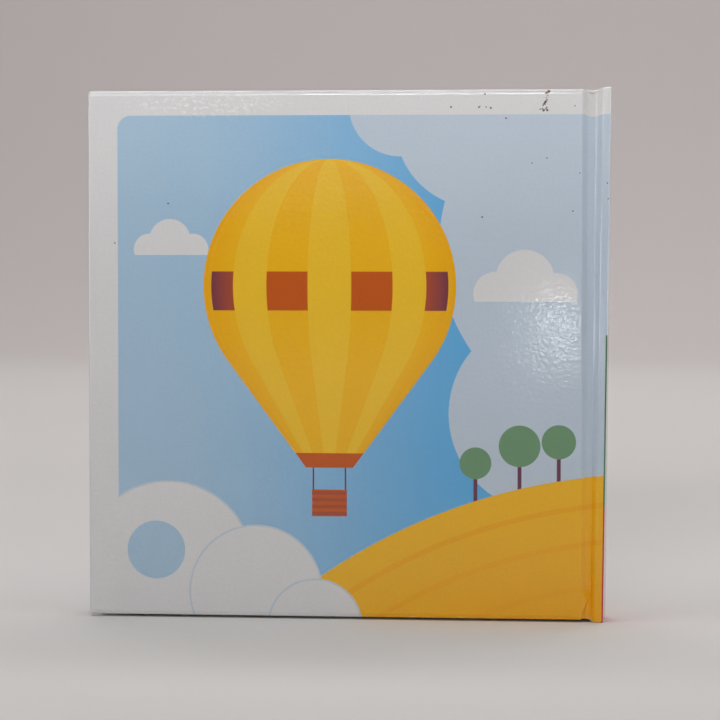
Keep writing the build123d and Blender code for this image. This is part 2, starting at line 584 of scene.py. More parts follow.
def paint_balloon(art, u, v):
    """Striped balloon with a band, ropes and a basket."""
    side = u - BALLOON_U
    up = v - BALLOON_V
    bowl = ((up * up) * -1.0 + BALLOON_ROUND**2).either(0.0).maths("SQRT")
    taper = up * math.tan(BALLOON_TAPER) + BALLOON_ROUND / math.cos(BALLOON_TAPER)
    low = up.below(-BALLOON_ROUND * math.sin(BALLOON_TAPER), BALLOON_JOIN)
    half = bowl * low.inverse() + taper * low
    inside = (half - side.size()).above(0.0).both(up.above(BALLOON_MOUTH))
    turn = (side / half.either(BALLOON_THINNEST)).maths("ARCSINE")
    stripe = (turn * BALLOON_GORES).maths("COSINE").rise(-GORE_SEAM, GORE_SEAM)
    skin = mix(GOLD, GOLD_LIGHT, stripe)
    skin = mix(skin, GOLD_DEEP, turn.size().rise(*GORE_SHADE))
    band = up.above(BALLOON_BAND[0]).both(up.below(BALLOON_BAND[1]))
    patch = mix(ORANGE, PLUM, turn.size().rise(*BAND_SHADE))
    skin = mix(skin, patch, band.both(stripe.inverse()))
    skin = mix(skin, ORANGE, up.below(BALLOON_MOUTH + BALLOON_COLLAR))
    art = mix(art, skin, inside)
    under = up.below(BALLOON_MOUTH).both(v.above(BASKET_TOP_V))
    ropes = (side.size() - BASKET_HALF * ROPE_PLACE_SHARE).size().below(ROPE_HALF).both(under)
    art = mix(art, PLUM, ropes)
    tall = v.below(BASKET_TOP_V).both(v.above(BASKET_BOTTOM_V))
    basket = side.size().below(BASKET_HALF).both(tall)
    weave = (v * (math.pi / BASKET_WEAVE)).maths("SINE").rise(-BASKET_WEAVE_EDGE, BASKET_WEAVE_EDGE)
    return mix(art, mix(ORANGE, PLUM, weave * BASKET_WEAVE_SHARE), basket)


def print_group():
    group, takes, ending = new_group(
        "printed_picture", [("Sheet", "NodeSocketVector", None)], [("Color", "NodeSocketColor")]
    )
    flat = takes["Sheet"]
    u, v, _ = parts_of(flat)
    outwards = u.size()
    art = mix(SKY_DEEP, SKY_PALE, outwards.rise(*SKY_FADE))
    art = mix(art, BANK_BLUE, any_of(disc(flat, *puff) for puff in PUFFS_BANK))
    for cloud in SMALL_CLOUDS:
        heap = any_of(disc(flat, *puff) for puff in cloud)
        foot = cloud[0][1] - cloud[0][2] * CLOUD_FLAT_SHARE
        art = mix(art, PAPER_WHITE, heap.both(v.above(foot)))
    depth = (distance(flat, (HILL[0], HILL[1], 0.0)) * -1.0) + HILL[2]
    field = mix(GOLD, GOLD_DEEP, depth.rise(0.0, FIELD_FADE))
    for row in FURROWS:
        field = mix(field, GOLD_DEEP, (depth - row).size().below(FURROW_WIDTH))
    for tree_u, crown in TREES:
        ground = HILL[1] + math.sqrt(HILL[2] ** 2 - (tree_u - HILL[0]) ** 2)
        trunk = (u - tree_u).size().below(TRUNK_HALF).both(v.below(ground + TRUNK + crown))
        art = mix(art, PLUM, trunk)
        art = mix(art, LEAF_GREEN, disc(flat, tree_u, ground + TRUNK + crown, crown))
    art = mix(art, field, depth.above(0.0))
    art = paint_balloon(art, u, v)
    for puff in PUFFS_WHITE:
        art = mix(art, CLOUD_SHADE, disc(flat, puff[0], puff[1], puff[2] + CLOUD_RIM))
        art = mix(art, PAPER_WHITE, disc(flat, *puff))
    art = mix(art, SKY_PALE, disc(flat, *BALL))
    spine = mix(BANK_BLUE, SPINE_GREEN, v.below(SPINE_GREEN_TOP_V))
    spine = mix(spine, SPINE_RED, v.below(SPINE_RED_TOP_V))
    art = mix(art, spine, outwards.below(SPINE_HALF + SPINE_ROUND))
    beside = (outwards - (PANEL_EDGE_U - PANEL_ROUND)).either(0.0)
    over = (v - (PANEL_TOP_V - PANEL_ROUND)).either(0.0)
    reach = (beside * beside + over * over).maths("SQRT")
    art = mix(PAPER_WHITE, art, reach.below(PANEL_ROUND))
    plug(group, art, ending.inputs["Color"])
    return group


def marks(place, ragged, spots):
    """Ragged spots on the sheet."""
    faint, full = SPOT_EDGE_SHARES
    return any_of(
        (distance(place, (u, v, 0.0)) + ragged).rise(radius * faint, radius * full)
        for u, v, radius in spots
    )


def smudge(u, v, middle_u, middle_v, half_width, half_height):
    """Soft patch, 1 in its middle."""
    across = (u - middle_u) / half_width
    up = (v - middle_v) / half_height
    return (across * across + up * up).rise(*SMUDGE_EDGE_SHARES)


def wear_group():
    """Stains, dirt, a line of painted shade in a crease, scuffs whose whitening also paints gloss glints,
    and folds worn by rubbing, on the case.
    """
    group, takes, ending = new_group(
        "marks_of_use",
        [("Sheet", "NodeSocketVector", None)],
        [(label, "NodeSocketFloat") for label in ("Rust", "Dark", "Blue", "Soil_and_shade", "Scuff_and_glint", "Rub")],
    )
    flat = takes["Sheet"]
    u, v, _ = parts_of(flat)
    ragged = (grain(flat, RAGGED_GRAIN, 3.0) - 0.5) * RAGGED_REACH
    for label, spots in (("Rust", RUST_MARKS), ("Dark", DARK_MARKS), ("Blue", BLUE_MARKS)):
        plug(group, marks(flat, ragged, spots), ending.inputs[label])
    cloudy = grain(flat, SOIL_AND_SHADE_GRAIN, 4.0, 0.6).rise(*SOIL_AND_SHADE_CUT)
    # Dirt patches; one of them is a dark line of painted shade along the crease under the head lip
    soil_and_shade = any_of(smudge(u, v, *patch) * cloudy * strength for *patch, strength in SOIL_AND_SHADE_PATCHES)
    plug(group, soil_and_shade, ending.inputs["Soil_and_shade"])
    # Whitened scuffs at the head; the whitening also paints gloss glints there as a painted highlight
    scuff_and_glint_place = joined(u + v * SCUFF_AND_GLINT_SLANT, v * SCUFF_AND_GLINT_STRETCH, 0.0)
    spotty = grain(scuff_and_glint_place, SCUFF_AND_GLINT_GRAIN, 6.0, 0.75).rise(*SCUFF_AND_GLINT_CUT)
    plug(group, smudge(u, v, *SCUFF_AND_GLINT_PATCH) * spotty, ending.inputs["Scuff_and_glint"])
    fold_head = (v - COVER_HEIGHT).size()
    fold_tail = v.size()
    fold_fore = (u.size() - (SPINE_HALF + SPINE_X - FORE_X)).size()
    near = fold_head.both(fold_tail).both(fold_fore).rise(RUB_NONE, RUB_FULL)
    patchy = grain(flat, RUB_GRAIN, 4.0, 0.7).rise(*RUB_CUT)
    plug(group, near * patchy, ending.inputs["Rub"])
    return group


def fibre_group():
    """Tone and relief of uncoated paper or board."""
    group, takes, ending = new_group(
        "paper_fibre",
        [
            ("Place", "NodeSocketVector", None),
            ("Fibres per Metre", "NodeSocketFloat", 2500.0),
            ("Relief", "NodeSocketFloat", 0.00002),
        ],
        [("Tone", "NodeSocketFloat"), ("Fleck", "NodeSocketFloat"), ("Height", "NodeSocketFloat")],
    )
    place = takes["Place"]
    fine = grain(place, takes["Fibres per Metre"], 4.0, 0.65)
    broad = grain(place, takes["Fibres per Metre"] * FIBRE_BROAD_SHARE, 2.0)
    fleck = grain(place, takes["Fibres per Metre"] * FLECK_SHARE, 1.0).rise(*FLECK_CUT)
    plug(group, (fine - 0.5) * FIBRE_FINE_SHARE + (broad - 0.5), ending.inputs["Tone"])
    plug(group, fleck, ending.inputs["Fleck"])
    plug(group, fine * takes["Relief"], ending.inputs["Height"])
    return group


fibre = fibre_group()


def laminated_print():
    """Printed paper under a gloss film."""
    material, tree, surface = new_material("laminated_print")
    flat = sheet_place(tree)
    art = use_group(tree, print_group(), Sheet=flat)["Color"]
    wear = use_group(tree, wear_group(), Sheet=flat)
    broad = grain(flat, INK_BROAD_GRAIN, 3.0) * INK_BROAD_SHARE
    fine = grain(flat, INK_FINE_GRAIN, 2.0) * INK_FINE_SHARE
    colour = shade(art, broad + fine + INK_BASE_SHARE)
    # Wear inks over the print; the dirt ink also paints shade along a crease under the head lip, and the
    # scuff ink also paints gloss glints as a painted highlight
    for kind, ink, share in WEAR_INKS:
        colour = mix(colour, ink, wear[kind] * share)
    plug(tree, colour, surface.inputs["Base Color"])
    u, v, _ = parts_of(flat)
    streaks = grain(joined(u, v * STREAK_STRETCH, 0.0), STREAK_GRAIN, 4.0, 0.6).rise(*STREAK_CUT)
    worn = wear["Rub"] * RUB_ROUGH + wear["Scuff_and_glint"] * SCUFF_ROUGH
    plug(tree, streaks * STREAK_ROUGH + worn + FILM_ROUGH, surface.inputs["Roughness"])
    surface.inputs["IOR"].default_value = FILM_IOR
    peel = grain(flat, PEEL_FINE_GRAIN, 1.5) * PEEL_FINE + grain(flat, PEEL_BROAD_GRAIN, 1.0) * PEEL_BROAD
    scratched = grain(joined(u, v * SCRATCH_STRETCH, 0.0), SCRATCH_GRAIN, 2.0).rise(*SCRATCH_CUT)
    emboss(tree, peel + scratched * -SCRATCH_DEPTH, surface)
    return material


def plain_paper(name, colour, fleck_colour, fibres, relief, tone_depth, flecks, rough):
    """Uncoated sheet with fibres."""
    material, tree, surface = new_material(name)
    paper = use_group(tree, fibre, Place=solid_place(tree), Fibres_per_Metre=fibres, Relief=relief)
    body = shade(colour, paper["Tone"] * tone_depth + 1.0)
    plug(tree, mix(body, fleck_colour, paper["Fleck"] * flecks), surface.inputs["Base Color"])
    plug(tree, paper["Tone"] * FIBRE_ROUGH_SHARE + rough, surface.inputs["Roughness"])
    emboss(tree, paper["Height"], surface)
    return material


def leaf_edges():
    """Cut edges of the leaves, each leaf a little lighter or darker."""
    material, tree, surface = new_material("leaf_paper")
    place = solid_place(tree)
    paper = use_group(tree, fibre, Place=place, Fibres_per_Metre=LEAF_FIBRES, Relief=LEAF_RELIEF)
    _, y, _ = parts_of(place)
    pitch = (BLOCK_HIGH.y - BLOCK_LOW.y) / (SECTIONS * LEAVES_IN_SECTION)
    number = ((y - BLOCK_LOW.y) / pitch).maths("FLOOR")
    own = tree.nodes.new("ShaderNodeTexWhiteNoise")
    own.noise_dimensions = "1D"
    plug(tree, number, own.inputs["W"])
    tone = Field(tree, own.outputs["Value"]) * LEAF_OWN_SHARE + paper["Tone"] * LEAF_FIBRE_SHARE
    plug(tree, shade(LEAF_WHITE, tone + LEAF_BASE_SHARE), surface.inputs["Base Color"])
    plug(tree, paper["Tone"] * FIBRE_ROUGH_SHARE + LEAF_ROUGH, surface.inputs["Roughness"])
    emboss(tree, paper["Height"], surface)
    return material


# Meshes

def rounded_path(points, radii, steps=GROOVE_ROUND_STEPS, longest=GROOVE_STEP):
    """Points along a polyline with its inner corners rounded."""
    path = [Vector(points[0])]
    for before, corner, after, radius in zip(points, points[1:], points[2:], radii):
        before, corner, after = Vector(before), Vector(corner), Vector(after)
        back = (before - corner).normalized()
        ahead = (after - corner).normalized()
        opening = back.angle(ahead)
        reach = radius / math.tan(opening / 2)
        middle = corner + (back + ahead).normalized() * (radius / math.sin(opening / 2))
        first = corner + back * reach - middle
        last = corner + ahead * reach - middle
        start = math.atan2(first.y, first.x)
        turn = math.remainder(math.atan2(last.y, last.x) - start, math.tau)
        for step in range(steps + 1):
            angle = start + turn * step / steps
            path.append(middle + radius * Vector((math.cos(angle), math.sin(angle))))
    path.append(Vector(points[-1]))
    filled = [path[0]]
    for here, there in zip(path, path[1:]):
        pieces = max(1, math.ceil((there - here).length / longest))
        filled += [here.lerp(there, step / pieces) for step in range(1, pieces + 1)]
    return filled


def smooth(share):
    share = min(max(share, 0.0), 1.0)
    return share * share * (3 - 2 * share)


def along(table, place):
    """Smooth value from a table of (place, value)."""
    if place <= table[0][0]:
        return table[0][1]
    for (start, low), (end, high) in zip(table, table[1:]):
        if place <= end:
            return low + (high - low) * smooth((place - start) / (end - start))
    return table[-1][1]


def drop(inside, radius):
    """How far a rounded edge falls away at this distance in from the edge."""
    if inside >= radius:
        return 0.0
    return radius - math.sqrt(max(radius**2 - (radius - inside) ** 2, 0.0))


def edge_stations(total):
    """Distances from one edge to the other, close together at both edges."""
    near = list(EDGE_PLACES)
    fine = round((TURN_IN - BEVEL_RUN) / FINE_STEP)
    near += [BEVEL_RUN + (TURN_IN - BEVEL_RUN) * step / fine for step in range(1, fine + 1)]
    count = round((total - 2 * TURN_IN) / COARSE_STEP)
    middle = [TURN_IN + (total - 2 * TURN_IN) * step / count for step in range(1, count)]
    return near + middle + [total - place for place in reversed(near)]


def pinched(x, z, level, below_head):
    """Level of the back cover's paper with the facet at the tail and the lip at the head of its groove."""
    start, end = Vector(TAIL_CREASE[0]), Vector(TAIL_CREASE[1])
    run = (end - start).normalized()
    offset = Vector((x, z - BACK_LOW.z)) - start
    way = offset.dot(run) / (end - start).length
    left = -offset.dot(Vector((run.y, -run.x)))
    facet = CASE_OUT - TAIL_FACET_SLOPE * (x - BOARD_FOLD_X)
    fading = smooth((TAIL_FACET_END_SHARE - way) / TAIL_FACET_FADE_SHARE)
    level += smooth(left / TAIL_CREASE_SOFT) * fading * max(facet - level, 0.0)
    return level + along(HEAD_LIP, below_head) * along(HEAD_LIP_SHARE, x - BOARD_HIGH.x)


def leaning(x, y, z):
    """Place of a point of the book when its spine leans."""
    up = (z - SPINE_LOW.z) / (SPINE_HIGH.z - SPINE_LOW.z)
    lean = SPINE_LEAN_TAIL + (SPINE_LEAN_HEAD - SPINE_LEAN_TAIL) * up
    roll = SPINE_ROLL_TAIL * (1 - up) * y / SPINE_HALF
    part = smooth((x - LEAN_START_X) / (LEAN_FULL_X - LEAN_START_X))
    return (x + part * (lean + roll), y, z)


def sheet_mesh(name, corners, faces, uvs, materials):
    """Open sheet made into paper of its thickness, inwards, with the picture's map and a baking map."""
    mesh = bpy.data.meshes.new(name)
    mesh.from_pydata(corners, [], faces)
    picture = mesh.uv_layers.new(name="sheet")
    flat = [place for face in uvs for place in face]
    for loop, place in zip(picture.data, flat):
        loop.uv = place
    low_u, low_v = (min(place[axis] for place in flat) for axis in (0, 1))
    high_u, high_v = (max(place[axis] for place in flat) for axis in (0, 1))
    span = max(high_u - low_u, high_v - low_v) * BAKE_ROOM
    for material in materials:
        mesh.materials.append(material)
    piece = bpy.data.objects.new(name, mesh)
    bpy.context.scene.collection.objects.link(piece)
    thicken = piece.modifiers.new("paper", "SOLIDIFY")
    thicken.thickness = PAPER
    thicken.offset = -1.0
    thicken.material_offset = 1
    thicken.material_offset_rim = 1
    bpy.context.view_layer.update()
    solid = bpy.data.meshes.new_from_object(piece.evaluated_get(bpy.context.evaluated_depsgraph_get()))
    piece.modifiers.clear()
    piece.data = solid
    solid.name = name
    baking = solid.uv_layers.new(name="OFBake")
    for polygon in solid.polygons:
        for index in polygon.loop_indices:
            place = solid.uv_layers["sheet"].data[index].uv
            spot = Vector((place[0] - low_u, place[1] - low_v)) / span
            if polygon.material_index == 1:
                baking.data[index].uv = spot * BAKE_PLAIN_SHARE + Vector((BAKE_PLAIN_U, BAKE_EDGE))
            else:
                baking.data[index].uv = spot * BAKE_PRINTED_SHARE + Vector((BAKE_EDGE, BAKE_EDGE))
        polygon.use_smooth = True
    solid.set_sharp_from_angle(angle=SHEET_SHARP)
    return piece


def groove_path():
    """Outer face of the case paper, from the board's face through the groove to the spine: x and level."""
    return rounded_path(
        (
            (BOARD_HIGH.x - GROOVE_LEAD, CASE_OUT),
            (BOARD_FOLD_X, CASE_OUT),
            (BOARD_FOLD_X + BOARD_WALL_RUN, GROOVE_LEVEL + GROOVE_FLOOR_RISE),
            (SPINE_WALL_START_X, GROOVE_LEVEL),
            (SHOULDER_X, CASE_OUT),
            (CASE_PAPER_END_X, CASE_OUT),
        ),
        GROOVE_ROUNDS,
    )


def cover_columns():
    """Places across a cover's paper, from the fore edge to the spine: x and level."""
    path = groove_path()
    board_width = path[0].x - FORE_X
    stations = edge_stations(board_width + TURN_IN)
    columns = [(FORE_X + place, CASE_OUT) for place in stations if place < board_width]
    return columns + [(point.x, point.y) for point in path]


def at_corner(beside, inside):
    """Distances in from the fore edge and the end, moved onto the rounded corner, and from its rim."""
    if beside >= CORNER_ROUND or inside >= CORNER_ROUND:
        return beside, inside, min(beside, inside)
    across, up = 1 - beside / CORNER_ROUND, 1 - inside / CORNER_ROUND
    round_x, round_z = across * math.sqrt(1 - up**2 / 2), up * math.sqrt(1 - across**2 / 2)
    depth = 1 - math.hypot(round_x, round_z)
    return CORNER_ROUND * (1 - round_x), CORNER_ROUND * (1 - round_z), CORNER_ROUND * depth


def cover_points(columns, rows, front):
    """Outer and inner points of a cover's paper, and the outer ones' places on the sheet."""
    side = 1.0 if front else -1.0
    warp_place = WARP_PLACE_FRONT if front else WARP_PLACE_BACK
    half_height = COVER_HEIGHT / 2
    outer, inner, places = {}, {}, {}
    for i, (x, level) in enumerate(columns):
        past = x - BOARD_HIGH.x
        bottom = BACK_LOW.z + along(TAIL_DIP, past)
        top = BACK_HIGH.z - along(HEAD_DIP, past)
        in_strip = smooth((x - BOARD_FOLD_X + STRIP_LEAD) / STRIP_FADE)
        radius = EDGE_ROUND + (STRIP_ROUND - EDGE_ROUND) * in_strip
        inner_radius = INNER_ROUND + (STRIP_ROUND - INNER_ROUND) * in_strip
        inner_level = TURN_IN_LEVEL
        if x > SPINE_WALL_START_X - WALL_LEAD:
            inner_level = max(TURN_IN_LEVEL, level - STRIP_THICKNESS)
        for j, row in enumerate(rows):
            from_tail = row <= half_height
            inside = row if from_tail else COVER_HEIGHT - row
            if inside <= EDGE_ROUND:
                inside *= radius / EDGE_ROUND
            else:
                share = (inside - EDGE_ROUND) / (half_height - EDGE_ROUND)
                inside = radius + share * ((top - bottom) / 2 - radius)
            beside, inside, edge = at_corner(x - FORE_X, inside)
            here_x = FORE_X + beside
            z = bottom + inside if from_tail else top - inside
            wave = noise.noise(Vector((x, warp_place, z)) / WARP_LENGTH) * WARP
            out = level if front or x < BOARD_FOLD_X else pinched(x, z, level, top - z)
            out += min(wave, 0.0) * smooth(edge / WARP_FADE) - drop(edge, radius)
            out -= BEVEL_DEPTH * (1 - in_strip) * max(1 - min(z - bottom, top - z) / BEVEL_RUN, 0.0)
            outer[i, j] = leaning(here_x, side * out, z)
            inner[i, j] = leaning(here_x, side * (inner_level + drop(edge, inner_radius)), z)
            flat_u = SPINE_HALF + SPINE_X - here_x
            pulled = along(PRINT_DIP, past) * smooth(1 - (top - z) / DIP_REACH)
            pulled -= max(bottom - BACK_LOW.z, 0.0) * smooth(1 - (z - bottom) / DIP_REACH)
            places[i, j] = (side * flat_u, z - BACK_LOW.z + pulled)
    return outer, inner, places


def folded(place, way):
    """Place on the flat sheet of a point on the turn-in that is folded this way, behind a printed place."""
    u, v = place
    far = CASE_OUT - TURN_IN_LEVEL + EDGE_ROUND
    if way == "fore":
        edge_u = SPINE_HALF + SPINE_X - FORE_X
        return (math.copysign(edge_u + far + (edge_u - abs(u)), u), v)
    if way == "tail":
        return (u, -far - v)
    return (u, COVER_HEIGHT + far + (COVER_HEIGHT - v))


def cover_sheet(name, front, materials):
    """Case paper of one cover: round the board's three edges, over its face and through the groove."""
    columns = cover_columns()
    rows = edge_stations(COVER_HEIGHT)
    outer, inner, places = cover_points(columns, rows, front)
    corners, number = [], {}
    faces, uvs = [], []

    def corner(kind, key):
        if (kind, key) not in number:
            number[kind, key] = len(corners)
            corners.append((outer if kind == "outer" else inner)[key])
        return number[kind, key]

    def face(loop):
        loop = loop[::-1] if front else loop
        faces.append([corner(kind, key) for kind, key, _ in loop])
        uvs.append([place for _, _, place in loop])

    def shown(keys):
        return [("outer", key, places[key]) for key in keys]

    def turned_in(keys, way):
        return [("inner", key, folded(places[key], way)) for key in keys]

    last_i, last_j = len(columns) - 1, len(rows) - 1
    for i in range(last_i):
        for j in range(last_j):
            ring = ((i, j), (i + 1, j), (i + 1, j + 1), (i, j + 1))
            face(shown(ring))
            beside = (columns[i][0] + columns[i + 1][0]) / 2 - FORE_X
            row = (rows[j] + rows[j + 1]) / 2
            end = min(row, COVER_HEIGHT - row)
            strip = columns[i][0] > BOARD_HIGH.x - STRIP_SLACK
            if end < (STRIP_TURN_IN if strip else TURN_IN) or beside < TURN_IN:
                way = "fore" if beside < end else "tail" if row < COVER_HEIGHT / 2 else "head"
                face(turned_in(ring[::-1], way))
    rims = [("fore", (0, j), (0, j + 1)) for j in range(last_j)]
    for i in range(last_i):
        rims += [("tail", (i + 1, 0), (i, 0)), ("head", (i, last_j), (i + 1, last_j))]
    for way, first, second in rims:
        face(shown((first, second)) + turned_in((second, first), way))
    return sheet_mesh(name, corners, faces, uvs, materials)


def spine_ring(inset):
    """Points round the spine's section, from its middle, for the paper or the board this far inside it."""
    half_x = (SPINE_X - SPINE_LOW.x) / 2 - inset
    half_y = SPINE_HALF - inset
    ring = []
    for sign_x, sign_y, radius, start in (
        (1, 1, SPINE_ROUND, 0.0),
        (-1, 1, SHOULDER_ROUND, 90.0),
        (-1, -1, SHOULDER_ROUND, 180.0),
        (1, -1, SPINE_ROUND, 270.0),
    ):
        bend = radius - inset
        for step in range(SPINE_ROUND_STEPS + 1):
            angle = math.radians(start + 90.0 * step / SPINE_ROUND_STEPS)
            x = sign_x * (half_x - bend) + bend * math.cos(angle)
            y = sign_y * (half_y - bend) + bend * math.sin(angle)
            ring.append((x, y))
    points = []
    across = SPINE_FACE_STEPS
    for (x, y), (next_x, next_y) in zip(ring, ring[1:] + ring[:1]):
        points.append((x, y))
        if abs(next_y - y) > half_y:
            points += [(x, y + (next_y - y) * step / across) for step in range(1, across)]
    return points, half_x, half_y


def spine_loft(inset):
    """Rings of corners up the leaning spine, with rounded ends: corners, rows and a ring's points."""
    points, half_x, half_y = spine_ring(inset)
    middle_x = (SPINE_X + SPINE_LOW.x) / 2
    low, high = SPINE_LOW.z + inset, SPINE_HIGH.z - inset
    rows = edge_stations(high - low)
    corners = []
    for row in rows:
        fall = drop(min(row, high - low - row), SPINE_ROUND)
        grow_x, grow_y = (half_x - fall) / half_x, (half_y - fall) / half_y
        corners += [leaning(middle_x + x * grow_x, y * grow_y, low + row) for x, y in points]
    return corners, rows, points


def spine_sheet(name, materials):
    """Case paper round the spine board, open inside between the turn-ins at head and tail."""
    corners, rows, points = spine_loft(0.0)
    height = rows[-1]
    count = len(points)
    inside_x = min(x for x, _ in points)
    faces, uvs = [], []

    def place(index, kind):
        x, y = points[index % count]
        back = max(px for px, _ in points) - x
        v = rows[index // count] + SPINE_LOW.z - BACK_LOW.z
        if kind == "outside":
            return (y + back if y > 0 else y - back, v)
        if kind == "head":
            return (y, COVER_HEIGHT + back + (COVER_HEIGHT - v))
        return (y, -back - v)

    for j in range(len(rows) - 1):
        row = (rows[j] + rows[j + 1]) / 2
        for k in range(count):
            after = (k + 1) % count
            loop = (j * count + k, j * count + after, (j + 1) * count + after, (j + 1) * count + k)
            inner_face = max(points[k][0], points[after][0]) < inside_x + TOUCHING
            if inner_face and TURN_IN < row < height - TURN_IN:
                continue
            kind = "outside" if not inner_face else "tail" if row < height / 2 else "head"
            faces.append(list(loop))
            uvs.append([place(index, kind) for index in loop])
    tail = list(range(count))[::-1]
    head = [(len(rows) - 1) * count + k for k in range(count)]
    for cap, kind in ((tail, "tail"), (head, "head")):
        faces.append(cap)
        uvs.append([place(index, kind) for index in cap])
    return sheet_mesh(name, corners, faces, uvs, materials)


def spine_stiffener(name, material):
    """Greyboard of the leaning spine."""
    corners, rows, points = spine_loft(PAPER)
    count = len(points)
    faces = []
    for j in range(len(rows) - 1):
        for k in range(count):
            after = (k + 1) % count
            faces.append([j * count + k, j * count + after, (j + 1) * count + after, (j + 1) * count + k])
    faces.append(list(range(count))[::-1])
    faces.append([(len(rows) - 1) * count + k for k in range(count)])
    return new_piece(name, corners, faces, material)


def new_piece(name, corners, faces, material):
    mesh = bpy.data.meshes.new(name)
    mesh.from_pydata(corners, [], faces)
    mesh.materials.append(material)
    piece = bpy.data.objects.new(name, mesh)
    bpy.context.scene.collection.objects.link(piece)
    for polygon in mesh.polygons:
        polygon.use_smooth = True
    mesh.set_sharp_from_angle(angle=PIECE_SHARP)
    return piece


def leaves(name, material):
    """The sewn sections: separate leaves with their cut edges a little uneven, and rounded folds."""
    chance = random.Random(LEAF_SEED)
    corners, faces = [], []
    thickness = (BLOCK_HIGH.y - BLOCK_LOW.y) / (SECTIONS * LEAVES_IN_SECTION)
    root_x = BLOCK_HIGH.x - FOLD_BULGE
    for number in range(SECTIONS * LEAVES_IN_SECTION):
        outermost = number in (0, SECTIONS * LEAVES_IN_SECTION - 1)
        low = BLOCK_LOW.y + number * thickness
        low_y = low + (0.0 if outermost else thickness * LEAF_GAP_SHARE / 2)
        high_y = low + thickness - (0.0 if outermost else thickness * LEAF_GAP_SHARE / 2)
        short = [0.0 if outermost else chance.random() * LEAF_STRAY for _ in range(4)]
        first = len(corners)
        tail, head = BLOCK_LOW.z + short[0], BLOCK_HIGH.z - short[1]
        for y in (low_y, high_y):
            corners += [
                (BLOCK_LOW.x + short[2], y, tail),
                (root_x, y, tail),
                (root_x, y, head),
                (BLOCK_LOW.x + short[3], y, head),
            ]
        faces += [
            [first + place for place in ring]
            for ring in ((0, 1, 2, 3), (7, 6, 5, 4), (4, 5, 1, 0), (5, 6, 2, 1), (6, 7, 3, 2), (7, 4, 0, 3))
        ]
    depth = thickness * LEAVES_IN_SECTION
    steps = SECTION_FOLD_STEPS
    for section in range(SECTIONS):
        middle = BLOCK_LOW.y + (section + 0.5) * depth
        first = len(corners)
        for z in (BLOCK_LOW.z, BLOCK_HIGH.z):
            for step in range(steps + 1):
                angle = math.pi * (step / steps - 0.5)
                x = root_x + FOLD_BULGE * math.cos(angle)
                corners.append((x, middle + depth / 2 * math.sin(angle), z))
        up = steps + 1
        faces += [[first + k, first + k + 1, first + k + 1 + up, first + k + up] for k in range(steps)]
        faces.append([first + k for k in range(up)][::-1])
        faces.append([first + up + k for k in range(up)])
        faces.append([first, first + up, first + 2 * up - 1, first + up - 1])
    return new_piece(name, [leaning(*corner) for corner in corners], faces, material)


def leaned(node, name, material):
    """A part of the frame that reaches the spine, leaning with it."""
    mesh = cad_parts[node].data
    corners = [leaning(*corner.co) for corner in mesh.vertices]
    return new_piece(name, corners, [list(polygon.vertices) for polygon in mesh.polygons], material)


# The book

film = laminated_print()
paper_back = plain_paper(
    "paper_back",
    colour=(0.70, 0.68, 0.64),
    fleck_colour=(0.60, 0.57, 0.52),
    fibres=2600.0,
    relief=0.00001,
    tone_depth=0.10,
    flecks=0.3,
    rough=0.75,
)
endpaper = plain_paper(
    "endpaper",
    colour=(0.80, 0.79, 0.76),
    fleck_colour=(0.72, 0.70, 0.66),
    fibres=2200.0,
    relief=0.000012,
    tone_depth=0.07,
    flecks=0.25,
    rough=0.7,
)
greyboard = plain_paper(
    "greyboard",
    colour=(0.30, 0.28, 0.25),
    fleck_colour=(0.16, 0.14, 0.12),
    fibres=1500.0,
    relief=0.00004,
    tone_depth=0.30,
    flecks=0.7,
    rough=0.85,
)
lining = plain_paper(
    "lining_crepe",
    colour=(0.66, 0.60, 0.48),
    fleck_colour=(0.52, 0.46, 0.35),
    fibres=900.0,
    relief=0.00006,
    tone_depth=0.18,
    flecks=0.4,
    rough=0.8,
)

back_paper = cover_sheet("back_case_paper", False, (film, paper_back))
front_paper = cover_sheet("front_case_paper", True, (film, paper_back))
spine_paper = spine_sheet("spine_case_paper", (film, paper_back))
spine_core = spine_stiffener("spine_stiffener", greyboard)
sewn_leaves = leaves("sewn_leaves", leaf_edges())

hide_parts("back_cover_paper")
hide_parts("front_cover_paper")
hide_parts("spine_cover_paper")
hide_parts("spine_board")
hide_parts("text_block")
for case_paper, body, level in (
    (back_paper, "back_cover", -CASE_OUT),
    (front_paper, "front_cover", CASE_OUT),
):
    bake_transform(case_paper)
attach(spine_paper, "block")
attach(spine_core, "block")
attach(sewn_leaves, "block")

for node, name, material, slot, body in (
    ("spine_lining", "lining_strip", lining, "lining", "block"),
    ("back_flyleaf", "back_free_endpaper", endpaper, "endpaper", "block"),
    ("front_flyleaf", "front_free_endpaper", endpaper, "endpaper", "block"),
    ("back_pastedown", "back_glued_endpaper", endpaper, "endpaper", "back_cover"),
    ("front_pastedown", "front_glued_endpaper", endpaper, "endpaper", "front_cover"),
):
    sheet = leaned(node, name, material)
    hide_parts(node)
    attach(sheet, body)

for node in ("back_board", "front_board"):
    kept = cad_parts[node]
    kept.data.materials.clear()
    kept.data.materials.append(greyboard)

# Stage

FLOOR_NEAR_Y = -2.6
SWEEP_START_Y = 2.3
SWEEP_ROUND = 0.9
WALL_TOP_Z = 4.0
STAGE_HALF = 3.2
SWEEP_STEPS = 24
FLOOR_PALE = (0.80, 0.78, 0.765)
BACKDROP_PALE = (0.70, 0.655, 0.645)
BACKDROP_FADE = (1.8, 3.0)
SWEEP_MOTTLE = 0.4
SWEEP_MOTTLE_SHARE = 0.02
SWEEP_BASE_SHARE = 0.99


